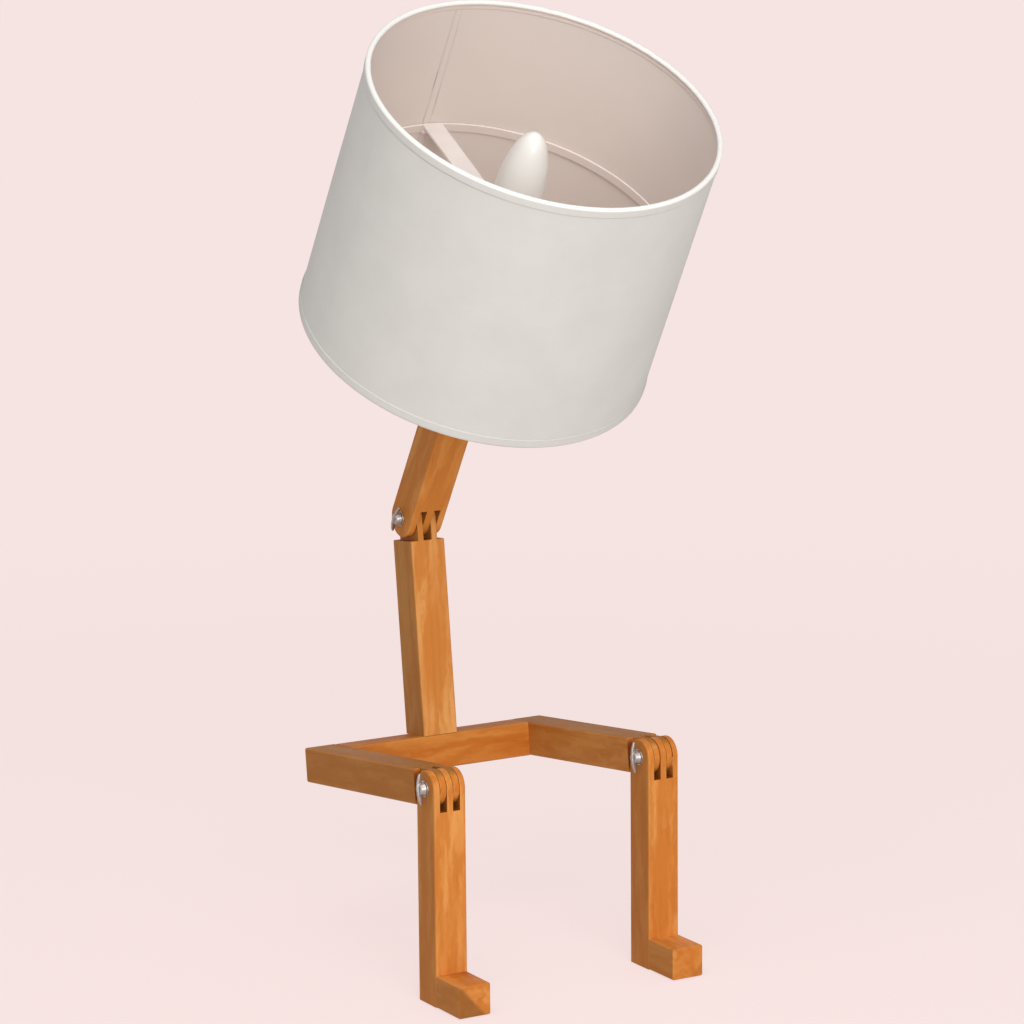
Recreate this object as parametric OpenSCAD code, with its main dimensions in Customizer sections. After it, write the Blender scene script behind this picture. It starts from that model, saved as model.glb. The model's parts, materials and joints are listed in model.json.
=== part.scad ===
// Seated robot figure desk lamp: square wooden bars, three finger hinges with wing nuts,
// and a drum shade for a head.
//
// Frame: millimetres, +Z up, the toes point along -Y, left is -X (seen from the front).
// Origin: the centre of the hip bar's underside, the face that the figure sits on.
// The shins hang upright, the hips lean back by hip_lean and the neck leans forward.

/* [Wooden bars] */
// Side of the square bars of the hips and legs
bar = 20; // [16:0.5:26]
// Side of the square bars of the torso and the neck
trunk = 22.4; // [18:0.1:27]
// Rounding along the bars' long edges
edge_r = 1.2; // [0.3:0.1:2.5]

/* [Figure] */
// Distance between the shins' centre lines
leg_spacing = 138; // [110:1:200]
// Knee pivot to the hip bar's centre line
thigh_l = 133; // [90:1:180]
// Knee pivot to the sole
shin_h = 122; // [90:1:180]
// Length of the toe block in front of the shin
toe_l = 25; // [15:1:40]
// Height of the toe block
toe_h = 18; // [12:0.5:20]
// Hip bar to the torso's shoulders
torso_h = 114; // [80:1:160]
// Neck pivot to the neck's upper end
neck_l = 165.5; // [140:0.5:200]

/* [Pose] */
// Angle by which the hips and the torso lean back
hip_lean = 6.5; // [0:0.5:12]
// Angle of the neck from the vertical
neck_lean = 31; // [0:0.5:45]

/* [Finger hinges] */
// Width of each slot
slot_w = 4.4; // [3:0.1:5]
// A tongue's round end to the bottom of its slot
slot_room = 2; // [1.5:0.5:6]
// Side clearance of a tongue in its slot
slot_gap = 0.3; // [0.1:0.05:0.4]

/* [Pivot bolts and wing nuts] */
// Diameter of the bolts
bolt_d = 4; // [3:0.5:5]
// Radial clearance of a bolt in its bore
bolt_clear = 0.08; // [0.02:0.01:0.1]
// Diameter of the domed bolt head
head_d = 10; // [8:0.5:14]
// Height of the domed bolt head
head_h = 2.4; // [1.5:0.1:3.5]
// Depth of the square neck under the head
square_h = 2.2; // [1.5:0.1:3]
// Diameter of the washer
washer_d = 9; // [8:0.5:12]
// Thickness of the washer
washer_t = 0.8; // [0.5:0.1:1.5]
// Length of a wing nut's blade
wing_span = 17.5; // [14:0.5:22]
// Height of a wing nut over its blade
wing_h = 4.4; // [4:0.1:9]
// Depth of the blade at its middle
wing_deep = 3; // [2.2:0.1:4.5]
// Bow of the blade's outer edge
wing_bow = 1.6; // [0.4:0.1:2]
// Thickness of the blade
wing_t = 1.6; // [1:0.1:2.5]
// Height of a wing nut's hub
hub_h = 3.4; // [3:0.1:6]
// Turn of the knee nuts' blades from the upright
knee_nut_turn = 0; // [-90:1:90]
// Turn of the neck nut's blade from the upright
neck_nut_turn = -26; // [-90:1:90]

/* [Dowels] */
// Diameter of the dowels
dowel_d = 6; // [5:0.5:7]
// Wood left beyond a dowel's end
dowel_end = 5; // [3:0.5:8]
// Wood left beside a pair of dowels
dowel_side = 2.5; // [1.5:0.5:4]

/* [Shade] */
// Outer diameter over the hem at the top edge
shade_d_top = 200; // [150:1:260]
// Outer diameter over the hem at the bottom edge
shade_d_bottom = 202; // [150:1:260]
// Height of the shade over its rims
shade_h = 160; // [120:1:200]
// Thickness of the laminated wall
shade_t = 0.8; // [0.5:0.1:1.5]
// Diameter of the wire in the rims
wire_d = 2; // [1.5:0.1:4]
// Thickness of the hem tape
hem_t = 0.3; // [0.2:0.05:0.6]
// Height of the hem tape
hem_h = 6; // [4:0.5:10]
// Clearance between the tape, the wire and the wall
hem_gap = 0.25; // [0.1:0.05:0.4]

/* [Shade carrier] */
// Bottom rim to the middle of the carrier's arms
carrier_up = 76.7; // [60:0.1:100]
// Holder's rim down to the middle of the carrier's arms
carrier_drop = 6.3; // [6:0.1:20]
// Number of arms
arm_count = 3; // [3:1:4]
// Width of an arm
arm_w = 12.5; // [6:0.5:16]
// Thickness of the arms and of the centre plate
arm_t = 1.2; // [0.8:0.1:2]
// Height of the carrier's hoop
hoop_h = 5; // [3:0.5:10]
// Thickness of the carrier's hoop
hoop_t = 1.5; // [1:0.1:3]
// Clearance between the carrier's hoop and the wall
hoop_gap = 0.3; // [0.1:0.05:0.5]

/* [Lamp holder] */
// Outside diameter of the holder's threaded body
holder_d = 28; // [26:0.5:32]
// Height of the holder's base cup
base_h = 16; // [12:0.5:20]
// Height of the holder's threaded shell
shell_h = 34; // [30:0.5:40]
// Wall of the base cup and of the shell
holder_wall = 2.2; // [1.5:0.1:3]
// Diameter of the threaded nipple
nipple_d = 10; // [8:0.5:12]
// Diameter of the wire way through nipple and neck
wire_way_d = 7; // [6:0.5:8]
// Outside diameter of the shade rings
ring_d = 38; // [34:0.5:44]
// Height of a shade ring
ring_h = 5; // [4:0.5:8]
// Grips round a shade ring
ring_grips = 24; // [12:1:36]

/* [Bulb] */
// Diameter of the glass
bulb_d = 27.2; // [24:0.1:36]
// Length of the glass above the cap
glass_l = 63; // [55:1:75]
// Widest place to the tip
bulb_tip_l = 37.5; // [30:0.5:48]
// Thickness of the glass
glass_t = 1; // [0.6:0.1:1.5]
// Diameter of the screw cap
cap_d = 13.8; // [13:0.1:14]
// Length of the screw cap
cap_l = 22; // [20:0.5:26]

/* [Cable outlet] */
// Neck pivot to the cable outlet
outlet_up = 112; // [100:1:120]
// Bore of the bush in the outlet
outlet_d = 6.6; // [5:0.1:7]
// Outside diameter of the bush's sleeve
bush_d = 9; // [8:0.1:10]
// Diameter of the bush's flange
flange_d = 12; // [10:0.5:14]
// Thickness of the bush's flange
flange_t = 1.2; // [0.8:0.1:2]

/* [Hidden] */
$fn = 64;

WOOD = [0.78, 0.50, 0.27];
STEEL = [0.75, 0.76, 0.78];
BRASS = [0.80, 0.65, 0.35];
PLASTIC = [0.93, 0.92, 0.90];
FABRIC = [0.87, 0.86, 0.83];
CERAMIC = [0.90, 0.88, 0.84];
DARK = [0.15, 0.14, 0.14];

eps = 0.01;
half = bar / 2;
trunk_half = trunk / 2;
tongue_w = slot_w - 2 * slot_gap;
bore_r = bolt_d / 2 + bolt_clear;
fit = 0.05;                       // all round in glued and threaded seats
nut_lift = 0.1;                   // a nut turns this far off its washer
nut_bore = hub_h - 0.6;           // the nuts are closed over the bolts' ends
bolt_more = washer_t + nut_lift + nut_bore - 0.4;
square_w = bolt_d;
hip_z = half;                     // hip bar's centre line above the seat
dowel_l = 2 * (bar - dowel_end);
dowel_pitch = bar - 2 * dowel_side - dowel_d;
neck_y = trunk_half - half;        // the torso's front is flush with the hip bar's
neck_z = bar + torso_h + slot_depth(trunk);

// pivot to the floors of the slots in a bar of width w
function slot_depth(w) = w / 2 + slot_room;

// bar's middle to the middle of a slot: three cheeks and two slots fill the width
function slot_x(w) = ((w - 2 * slot_w) / 3 + slot_w) / 2;

// lamp holder, measured along the neck from its pivot
base_z = neck_l;
base_floor = 3;
nipple_nut_h = 2.5;
shell_z = base_z + base_h;
rim_z = shell_z + shell_h;
holder_r = holder_d / 2;
block_flange = 2;
nipple_low = neck_l - 14;
nipple_high = base_z + base_floor + nipple_nut_h + 1;
terminal_h = 1.8;
block_low = nipple_high + terminal_h + 0.2;
block_high = shell_z + 3;
contact_z = block_high + 2;
glass_z = contact_z + cap_l;
tip_z = glass_z + glass_l;

// shade, clamped on the holder by its rings
arm_z = rim_z - carrier_drop;
plate_low = arm_z - arm_t / 2;
plate_high = arm_z + arm_t / 2;
shade_up = arm_z - carrier_up;
rim_r = wire_d / 2 + hem_gap + hem_t;
rim_low = shade_up + rim_r;
rim_high = shade_up + shade_h - rim_r;
wall_low = rim_low + wire_d / 2 + hem_gap;
wall_high = rim_high - wire_d / 2 - hem_gap;

weld_gap = 0.1;

// outer radius over the hems, and of the wall under them
function drum_r(z) =
    (shade_d_bottom + (shade_d_top - shade_d_bottom) * (z - shade_up) / shade_h) / 2;
function wall_r(z) = drum_r(z) - hem_gap - hem_t;

hoop_r = min(wall_r(plate_high), wall_r(plate_high - hoop_h)) - shade_t - hoop_gap;

// half width of the bulb's glass at height z, drawn in by inset
function bulb_r(z, inset = 0) =
    let (wide = tip_z - bulb_tip_l, r = bulb_d / 2 - inset, root = cap_d / 2 + 1.2 - inset)
    z >= wide
        ? r * sqrt(max(0, 1 - pow((z - wide) / (bulb_tip_l - inset), 2)))
        : root + (r - root) * (1 - cos(180 * (z - glass_z) / (wide - glass_z))) / 2;

// ---------- places ----------

module on_hip() rotate([-hip_lean, 0, 0]) children();

module at_knee(side)
    on_hip() translate([side * leg_spacing / 2, -thigh_l, hip_z])
        rotate([hip_lean, 0, 0]) children();

module at_neck()
    on_hip() translate([0, neck_y, neck_z]) rotate([hip_lean + neck_lean, 0, 0]) children();

// along a pivot, from the right face of a bar of width w to its left face
module on_pivot(w) translate([w / 2, 0, 0]) rotate([0, -90, 0]) children();

// ---------- shapes that repeat ----------

module rounded_rect(w, h, r) {
    square([w, h - 2 * r], center = true);
    square([w - 2 * r, h], center = true);
    for (x = [-1, 1], y = [-1, 1])
        translate([x * (w / 2 - r), y * (h / 2 - r)]) circle(r, $fn = 24);
}

// square bar with soft long edges, from z = 0 up
module beam(l, w = bar) linear_extrude(l) rounded_rect(w, w, edge_r);

// the bar's round end about a pivot along X
module round_end(w)
    rotate([0, 90, 0]) rotate_extrude($fn = 96)
        intersection() {
            rounded_rect(w, w, edge_r);
            translate([0, -w / 2]) square([w / 2, w]);
        }

module tube(outer_r, inner_r, l)
    difference() {
        cylinder(r = outer_r, h = l);
        translate([0, 0, -1]) cylinder(r = inner_r, h = l + 2);
    }

// bar of width w that hangs from a pivot at the origin, with its fingers at the top:
// three cheeks with two slots between them, or two tongues
module finger_bar(l, cheeks, w = bar) {
    low = -slot_depth(w);
    deep = slot_depth(w) + w;
    difference() {
        union() {
            translate([0, 0, -l]) beam(l, w);
            round_end(w);
        }
        if (cheeks)
            for (side = [-1, 1])
                translate([side * slot_x(w) - slot_w / 2, -w, low]) cube([slot_w, 2 * w, deep]);
        else {
            middle = 2 * slot_x(w) - tongue_w;
            outer = slot_x(w) + tongue_w / 2;
            translate([-middle / 2, -w, low]) cube([middle, 2 * w, deep]);
            for (side = [-1, 1])
                translate([side > 0 ? outer : -outer - w, -w, low]) cube([w, 2 * w, deep]);
        }
        rotate([0, 90, 0]) cylinder(r = bore_r, h = 2 * w, center = true);
    }
}

// recess in the cheek for the square neck of a bolt
module square_recess(w = bar)
    on_pivot(w) translate([0, 0, -1]) linear_extrude(square_h + 1.2)
        square(square_w + 2 * fit, center = true);

module pivot_bolt(w = bar) {
    dome_r = (pow(head_d / 2, 2) + pow(head_h, 2)) / (2 * head_h);
    color(STEEL) on_pivot(w) {
        intersection() {
            translate([0, 0, dome_r - head_h]) sphere(r = dome_r);
            translate([0, 0, -head_h]) cylinder(r = head_d, h = head_h);
        }
        translate([0, 0, -eps]) linear_extrude(square_h + eps) square(square_w, center = true);
        cylinder(r = bolt_d / 2, h = w + bolt_more, $fn = 32);
    }
}

module pivot_washer(w = bar)
    color(STEEL) on_pivot(w) translate([0, 0, w])
        tube(washer_d / 2, bolt_d / 2 + 0.15, washer_t);

// a blade with round tips and a bowed outer edge
module wing_profile() {
    lobe = (wing_deep - wing_bow) / 2;
    tip = wing_span / 2 - lobe;
    bow_r = (pow(tip, 2) + pow(wing_bow, 2)) / (2 * wing_bow);
    bow_turn = asin(tip / bow_r);
    polygon(concat(
        [for (turn = [-90 : 15 : 90]) wing_lobe(tip, lobe, turn)],
        [for (i = [-5 : 5]) [-bow_r * sin(bow_turn * i / 6),
                             wing_h - bow_r * (1 - cos(bow_turn * i / 6))]],
        [for (turn = [90 : 15 : 270]) wing_lobe(-tip, lobe, turn)]
    ));
}

function wing_lobe(tip, lobe, turn) =
    [tip + lobe * cos(turn), wing_h - wing_deep + lobe * (1 + sin(turn))];

module wing_nut(turn, w = bar)
    color(STEEL) on_pivot(w) translate([0, 0, w + washer_t + nut_lift])
        rotate([0, 0, turn])
            difference() {
                union() {
                    cylinder(r1 = bolt_d * 1.05, r2 = bolt_d * 0.75, h = hub_h);
                    rotate([90, 0, 0]) linear_extrude(wing_t, center = true) wing_profile();
                }
                translate([0, 0, -1]) cylinder(r = bolt_d / 2 + fit, h = nut_bore + 1, $fn = 32);
            }

module dowel(l) cylinder(r = dowel_d / 2, h = l, center = true, $fn = 40);

module dowel_hole(l) cylinder(r = dowel_d / 2 + fit, h = l, center = true, $fn = 40);

// ---------- hips and torso ----------

// dowels between hip bar and thighs, as children with their length
module hip_dowel_places()
    for (side = [-1, 1], up = [-1, 1])
        translate([side * (leg_spacing - bar) / 2, 0, hip_z + up * dowel_pitch / 2])
            rotate([0, 90, 0]) children();

// dowels between hip bar and torso
module torso_dowel_places()
    for (back = [-1, 1]) translate([0, back * dowel_pitch / 2, bar]) children();

module hip_bar()
    color(WOOD) on_hip() difference() {
        translate([-(leg_spacing - bar) / 2, 0, hip_z])
            rotate([0, 90, 0]) beam(leg_spacing - bar);
        hip_dowel_places() dowel_hole(dowel_l + 1);
        torso_dowel_places() dowel_hole(dowel_l + 1);
    }

module thigh(side)
    color(WOOD) on_hip() difference() {
        translate([side * leg_spacing / 2, -thigh_l, hip_z])
            rotate([90, 0, 0]) finger_bar(thigh_l + half, false);
        hip_dowel_places() dowel_hole(dowel_l + 1);
    }

module torso()
    color(WOOD) on_hip() difference() {
        translate([0, neck_y, neck_z])
            finger_bar(torso_h + slot_depth(trunk), false, trunk);
        torso_dowel_places() dowel_hole(dowel_l + 1);
    }

module hip_dowels() color(WOOD) on_hip() hip_dowel_places() dowel(dowel_l);

module torso_dowels() color(WOOD) on_hip() torso_dowel_places() dowel(dowel_l);

// ---------- legs ----------

module toe_dowel_place()
    translate([0, -half, -shin_h + toe_h / 2]) rotate([90, 0, 0]) children();

// solid with the toe block's section, from y back to y - l
module toe_bar(y, l)
    translate([0, y, -shin_h + toe_h / 2]) rotate([90, 0, 0]) linear_extrude(l)
        rounded_rect(bar, toe_h, edge_r);

// the shin's front corners are square behind the toe block, so both sides are flush
module shin(side)
    color(WOOD) at_knee(side) difference() {
        union() {
            finger_bar(shin_h, true);
            toe_bar(0, half);
        }
        square_recess();
        toe_dowel_place() dowel_hole(dowel_l + 1);
    }

module toe(side)
    color(WOOD) at_knee(side) difference() {
        toe_bar(-half, toe_l);
        toe_dowel_place() dowel_hole(dowel_l + 1);
    }

module toe_dowel(side) color(WOOD) at_knee(side) toe_dowel_place() dowel(dowel_l);

// ---------- neck and cable outlet ----------

module neck()
    color(WOOD) at_neck() difference() {
        rotate([180, 0, 0]) finger_bar(neck_l, true, trunk);
        square_recess(trunk);
        translate([0, 0, nipple_low]) cylinder(r = nipple_d / 2 + fit, h = neck_l);
        translate([0, 0, outlet_up]) cylinder(r = wire_way_d / 2, h = neck_l);
        translate([0, 0, outlet_up]) sphere(r = wire_way_d / 2);
        translate([0, 0, outlet_up]) rotate([-90, 0, 0]) cylinder(r = wire_way_d / 2, h = trunk);
        translate([0, trunk_half, outlet_up]) rotate([90, 0, 0]) translate([0, 0, -1])
            cylinder(r = bush_d / 2 + fit, h = trunk_half - wire_way_d / 2 + 1);
    }

module cable_bush()
    color(PLASTIC) at_neck() translate([0, trunk_half, outlet_up]) rotate([-90, 0, 0])
        difference() {
            union() {
                cylinder(r = flange_d / 2, h = flange_t);
                translate([0, 0, -(trunk_half - wire_way_d / 2) + 0.3])
                    cylinder(r = bush_d / 2, h = trunk_half - wire_way_d / 2);
            }
            translate([0, 0, -trunk]) cylinder(r = outlet_d / 2, h = 2 * trunk);
        }

// ---------- lamp holder ----------

module holder_nipple()
    color(STEEL) at_neck() translate([0, 0, nipple_low + 0.3])
        tube(nipple_d / 2, wire_way_d / 2, nipple_high - nipple_low - 0.3);

module nipple_nut()
    color(STEEL) at_neck() translate([0, 0, base_z + base_floor]) difference() {
        cylinder(r = nipple_d / 2 + 3.1, h = nipple_nut_h, $fn = 6);
        translate([0, 0, -1]) cylinder(r = nipple_d / 2 + fit, h = nipple_nut_h + 2);
    }

// cup of the holder, screwed to the neck by the nipple
module holder_base()
    color(PLASTIC) at_neck() translate([0, 0, base_z]) difference() {
        union() {
            cylinder(r1 = holder_r - 2.5, r2 = holder_r, h = 4);
            translate([0, 0, 4]) cylinder(r = holder_r, h = base_h - 4);
        }
        translate([0, 0, base_floor])
            cylinder(r = holder_r - holder_wall, h = base_h);
        translate([0, 0, -1]) cylinder(r = nipple_d / 2 + 0.1, h = base_h);
    }

// threaded shell of the holder, with the pocket that clamps the contact block
module holder_shell()
    color(PLASTIC) at_neck() translate([0, 0, shell_z]) difference() {
        cylinder(r = holder_r, h = shell_h);
        translate([0, 0, -1]) cylinder(r = holder_r - holder_wall + 1, h = block_flange + 1);
        translate([0, 0, -1]) cylinder(r = holder_r - holder_wall, h = shell_h + 2);
        translate([0, 0, shell_h - 1])
            cylinder(r1 = holder_r - holder_wall, r2 = holder_r - holder_wall + 1.2, h = 1.2);
    }

module terminal_places()
    for (side = [-1, 1]) translate([side * 6, 0, block_low]) children();

module contact_block()
    color(CERAMIC) at_neck() difference() {
        union() {
            translate([0, 0, block_low])
                cylinder(r = holder_r - holder_wall - 0.4, h = block_high - block_low);
            translate([0, 0, shell_z])
                cylinder(r = holder_r - holder_wall + 0.8, h = block_flange - fit);
        }
        terminal_places() translate([0, 0, -1]) cylinder(r = 1.5 + fit, h = 7, $fn = 24);
    }

module terminal_screws()
    color(BRASS) at_neck() terminal_places() {
        cylinder(r = 1.5, h = 5.5, $fn = 24);
        translate([0, 0, -terminal_h]) cylinder(r = 2.6, h = terminal_h, $fn = 24);
    }

// springy strip under the bulb's tip
module centre_contact()
    color(BRASS) at_neck() translate([0, 0, block_high])
        rotate([90, 0, 90]) linear_extrude(4, center = true)
            polygon([[-8, 0], [-3.5, 0], [-1.5, contact_z - block_high - 0.7],
                     [2.5, contact_z - block_high - 0.7], [2.5, contact_z - block_high - 0.2],
                     [-1.8, contact_z - block_high - 0.2], [-3.9, 0.5], [-8, 0.5]]);

// springy strip beside the bulb's screw cap
module side_contact()
    color(BRASS) at_neck() translate([0, 0, block_high])
        rotate([90, 0, 90]) linear_extrude(4, center = true)
            polygon([[cap_d / 2 + 0.8, 0], [cap_d / 2 + 3, 0], [cap_d / 2 + 3, 0.5],
                     [cap_d / 2 + 1.3, 0.5], [cap_d / 2 + 1.3, 8], [cap_d / 2 + 0.8, 11],
                     [cap_d / 2 + 0.3, 11], [cap_d / 2 + 0.8, 7.6]]);

// ring on the holder's thread, with grips round its rim
module shade_ring(z)
    color(PLASTIC) at_neck() translate([0, 0, z]) difference() {
        cylinder(r = ring_d / 2, h = ring_h);
        translate([0, 0, -1]) cylinder(r = holder_r + fit, h = ring_h + 2);
        for (grip = [1 : ring_grips]) rotate([0, 0, grip * 360 / ring_grips])
            translate([ring_d / 2 + 0.5, 0, -1]) cylinder(r = 1.1, h = ring_h + 2, $fn = 16);
    }

// ---------- bulb ----------

module bulb_cap()
    color(STEEL) at_neck() translate([0, 0, contact_z]) difference() {
        union() {
            translate([0, 0, 3.5]) cylinder(r = cap_d / 2, h = cap_l - 5.5);
            translate([0, 0, cap_l - 2]) cylinder(r1 = cap_d / 2, r2 = cap_d / 2 + 1.2, h = 2);
        }
        translate([0, 0, 4.5]) cylinder(r = cap_d / 2 - 0.6, h = cap_l);
    }

module bulb_insulator()
    color(DARK) at_neck() translate([0, 0, contact_z + 1])
        cylinder(r1 = 3.2, r2 = cap_d / 2 - 0.2, h = 2.5);

module bulb_tip_contact()
    color(BRASS) at_neck() translate([0, 0, contact_z]) cylinder(r1 = 1.8, r2 = 2.4, h = 1, $fn = 40);

module glass_solid(inset, steps) {
    top = tip_z - inset;
    rotate_extrude($fn = 72) polygon(concat(
        [[0, glass_z]],
        [for (i = [0 : steps - 1])
            let (z = glass_z + (top - glass_z) * sin(90 * i / steps)) [bulb_r(z, inset), z]],
        [[0, top]]
    ));
}

module bulb_glass()
    color("white") at_neck() difference() {
        glass_solid(0, 30);
        glass_solid(glass_t, 30);
    }

// ---------- shade ----------

module shade_drum()
    color(FABRIC) at_neck() rotate_extrude($fn = 160)
        polygon([
            [wall_r(wall_low) - shade_t, wall_low], [wall_r(wall_low), wall_low],
            [wall_r(wall_high), wall_high], [wall_r(wall_high) - shade_t, wall_high]
        ]);

// a rim's wire, inside the wall's line so that its hem stays flush outside
module rim_wire(z)
    color(STEEL) at_neck() rotate_extrude($fn = 160)
        translate([drum_r(z) - rim_r, z]) circle(wire_d / 2, $fn = 24);

// tape folded round a rim's wire and up (1) or down (-1) both faces of the wall
module rim_hem(z, up)
    color(FABRIC) at_neck() rotate_extrude($fn = 160) {
        end = z + up * (hem_h - rim_r);
        difference() {
            union() {
                translate([drum_r(z) - rim_r, z]) circle(rim_r, $fn = 32);
                wall_strip(z + up * 0.2, end, hem_gap + hem_t);
            }
            translate([drum_r(z) - rim_r, z]) circle(wire_d / 2 + hem_gap, $fn = 32);
            wall_strip(z, end + up, hem_gap);
        }
    }

// section of the wall between two heights, grown to both sides
module wall_strip(a, b, grow) {
    low = min(a, b);
    high = max(a, b);
    polygon([
        [wall_r(low) - shade_t - grow, low], [wall_r(low) + grow, low],
        [wall_r(high) + grow, high], [wall_r(high) - shade_t - grow, high]
    ]);
}

module carrier_hoop()
    color(STEEL) at_neck() translate([0, 0, plate_high - hoop_h])
        tube(hoop_r, hoop_r - hoop_t, hoop_h);

// centre plate and arms, whose ends are bent down and welded inside the hoop
module shade_carrier() {
    tab_r = sqrt(pow(hoop_r - hoop_t - weld_gap, 2) - pow(arm_w / 2, 2));
    color(STEEL) at_neck() difference() {
        union() {
            translate([0, 0, plate_low]) cylinder(r = ring_d / 2 + 1.5, h = arm_t);
            for (arm = [0 : arm_count - 1]) rotate([0, 0, 90 + arm * 360 / arm_count]) {
                translate([0, -arm_w / 2, plate_low]) cube([tab_r, arm_w, arm_t]);
                translate([tab_r - arm_t, -arm_w / 2, plate_high - hoop_h])
                    cube([arm_t, arm_w, hoop_h]);
            }
        }
        translate([0, 0, plate_low - 1]) cylinder(r = holder_r + 0.5, h = arm_t + 2);
    }
}

hip_bar();
thigh(-1);  // left_thigh
thigh(1);  // right_thigh
torso();
neck();
shin(-1);  // left_shin
shin(1);  // right_shin
toe(-1);  // left_toe
toe(1);  // right_toe
hip_dowels();
toe_dowel(-1);  // left_toe_dowel
toe_dowel(1);  // right_toe_dowel
torso_dowels();
at_knee(-1) pivot_bolt();  // left_knee_bolt
at_knee(-1) pivot_washer();  // left_knee_washer
at_knee(-1) wing_nut(knee_nut_turn);  // left_knee_nut
at_knee(1) pivot_bolt();  // right_knee_bolt
at_knee(1) pivot_washer();  // right_knee_washer
at_knee(1) wing_nut(knee_nut_turn);  // right_knee_nut
at_neck() pivot_bolt(trunk);  // neck_bolt
at_neck() pivot_washer(trunk);  // neck_washer
at_neck() wing_nut(neck_nut_turn + neck_lean, trunk);  // neck_nut
cable_bush();
holder_nipple();
nipple_nut();
holder_base();
holder_shell();
contact_block();
centre_contact();
side_contact();
terminal_screws();
shade_ring(plate_low - ring_h);  // lower_shade_ring
shade_ring(plate_high);  // upper_shade_ring
bulb_cap();
bulb_insulator();
bulb_tip_contact();
bulb_glass();
shade_drum();
rim_wire(rim_high);  // top_hoop
rim_wire(rim_low);  // bottom_hoop
rim_hem(rim_high, -1);  // top_hem
rim_hem(rim_low, 1);  // bottom_hem
carrier_hoop();
shade_carrier();
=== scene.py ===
"""Looks of a seated wooden figure desk lamp, made round its CAD frame.

The wooden bars, small metal parts and plastic parts take their shape from the frame and get
softened edges and grain. The wing nuts, bolts, lamp holder thread, bulb, shade wall, hems and
seam are modelled here, at the places and sizes that the frame gives.
"""

import json
import math

import bmesh
import bpy
from bpy.props import FloatProperty, FloatVectorProperty, IntProperty, PointerProperty
from mathutils import Matrix, Vector, noise


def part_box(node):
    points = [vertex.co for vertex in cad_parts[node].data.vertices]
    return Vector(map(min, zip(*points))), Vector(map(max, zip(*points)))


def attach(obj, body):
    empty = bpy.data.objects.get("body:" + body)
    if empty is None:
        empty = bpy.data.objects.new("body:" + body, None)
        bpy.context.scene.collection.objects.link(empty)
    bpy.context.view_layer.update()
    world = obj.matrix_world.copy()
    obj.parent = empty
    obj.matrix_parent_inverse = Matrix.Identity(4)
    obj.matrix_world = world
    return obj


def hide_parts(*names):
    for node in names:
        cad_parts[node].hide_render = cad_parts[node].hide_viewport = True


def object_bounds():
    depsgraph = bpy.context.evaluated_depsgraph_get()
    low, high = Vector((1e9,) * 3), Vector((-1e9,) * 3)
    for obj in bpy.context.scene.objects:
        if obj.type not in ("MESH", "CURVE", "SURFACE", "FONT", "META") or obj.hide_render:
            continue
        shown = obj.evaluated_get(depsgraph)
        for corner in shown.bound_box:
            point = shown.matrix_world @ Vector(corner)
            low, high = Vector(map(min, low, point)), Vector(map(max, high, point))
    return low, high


bl_info = {
    "name": "Seated Figure Desk Lamp",
    "version": (1, 0, 0),
    "blender": (4, 5, 0),
    "location": "3D View > Sidebar > Figure Lamp",
    "description": "Makes the wood, fittings, bulb and shade of a seated figure desk lamp",
    "category": "Add Mesh",
}

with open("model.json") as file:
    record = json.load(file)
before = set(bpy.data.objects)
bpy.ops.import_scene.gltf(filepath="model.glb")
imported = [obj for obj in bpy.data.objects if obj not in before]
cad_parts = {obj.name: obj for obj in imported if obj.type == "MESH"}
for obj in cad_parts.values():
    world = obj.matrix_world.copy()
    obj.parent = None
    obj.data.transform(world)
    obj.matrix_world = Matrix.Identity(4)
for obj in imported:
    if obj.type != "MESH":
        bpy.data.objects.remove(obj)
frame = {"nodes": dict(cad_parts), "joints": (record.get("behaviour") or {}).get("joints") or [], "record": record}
cad_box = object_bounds()

MM = 0.001
FULL_TURN = 2 * math.pi
BODY_OF = {
    node: body
    for body, nodes in frame["record"]["behaviour"]["bodies"].items()
    for node in nodes
}


# ---------- places, read from the frame ----------

def pivot_of(joint_name):
    """Point on a joint's axis, in the row frame."""
    joint = next(j for j in frame["joints"] if j["name"] == joint_name)
    return Vector(joint["pos_m"])


def centre_of(node):
    """Middle of a node's box."""
    low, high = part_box(node)
    return (low + high) / 2


def axes_at(origin, along, side):
    """Matrix of a place whose Z runs along and whose X is as near side as it can be."""
    z = Vector(along).normalized()
    x = (Vector(side) - z * z.dot(Vector(side))).normalized()
    turn = Matrix((x, z.cross(x), z)).transposed()
    return Matrix.Translation(origin) @ turn.to_4x4()


RIGHT = Vector((1, 0, 0))
UP = Vector((0, 0, 1))
FRONT = Vector((0, -1, 0))
NECK_PIVOT = pivot_of("neck_tilt")
NECK = axes_at(NECK_PIVOT, centre_of("holder_shell") - NECK_PIVOT, RIGHT)
THIGH_AXIS = (centre_of("hip_bar") - pivot_of("left_knee")) * Vector((0, 1, 1))
TORSO_AXIS = RIGHT.cross(THIGH_AXIS)


def in_neck(node):
    """Points of a node in the neck's frame, as (distance from the neck's axis, height)."""
    back = NECK.inverted()
    points = [back @ v.co for v in frame["nodes"][node].data.vertices]
    return [(math.hypot(p.x, p.y), p.z) for p in points]


def ring_sizes(node):
    """Low and high ends of a round node on the neck's axis, with its radii at each end."""
    points = in_neck(node)
    low = min(z for r, z in points)
    high = max(z for r, z in points)
    near = 0.02 * MM
    at_low = [r for r, z in points if z < low + near]
    at_high = [r for r, z in points if z > high - near]
    return {
        "low": low, "high": high,
        "outer_low": max(at_low), "inner_low": min(at_low),
        "outer_high": max(at_high), "inner_high": min(at_high),
    }


# ---------- settings ----------

def colour_setting(name, description, default):
    """Setting for a colour."""
    return FloatVectorProperty(
        name=name, description=description, default=default, subtype="COLOR", size=3, min=0, max=1)


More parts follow.
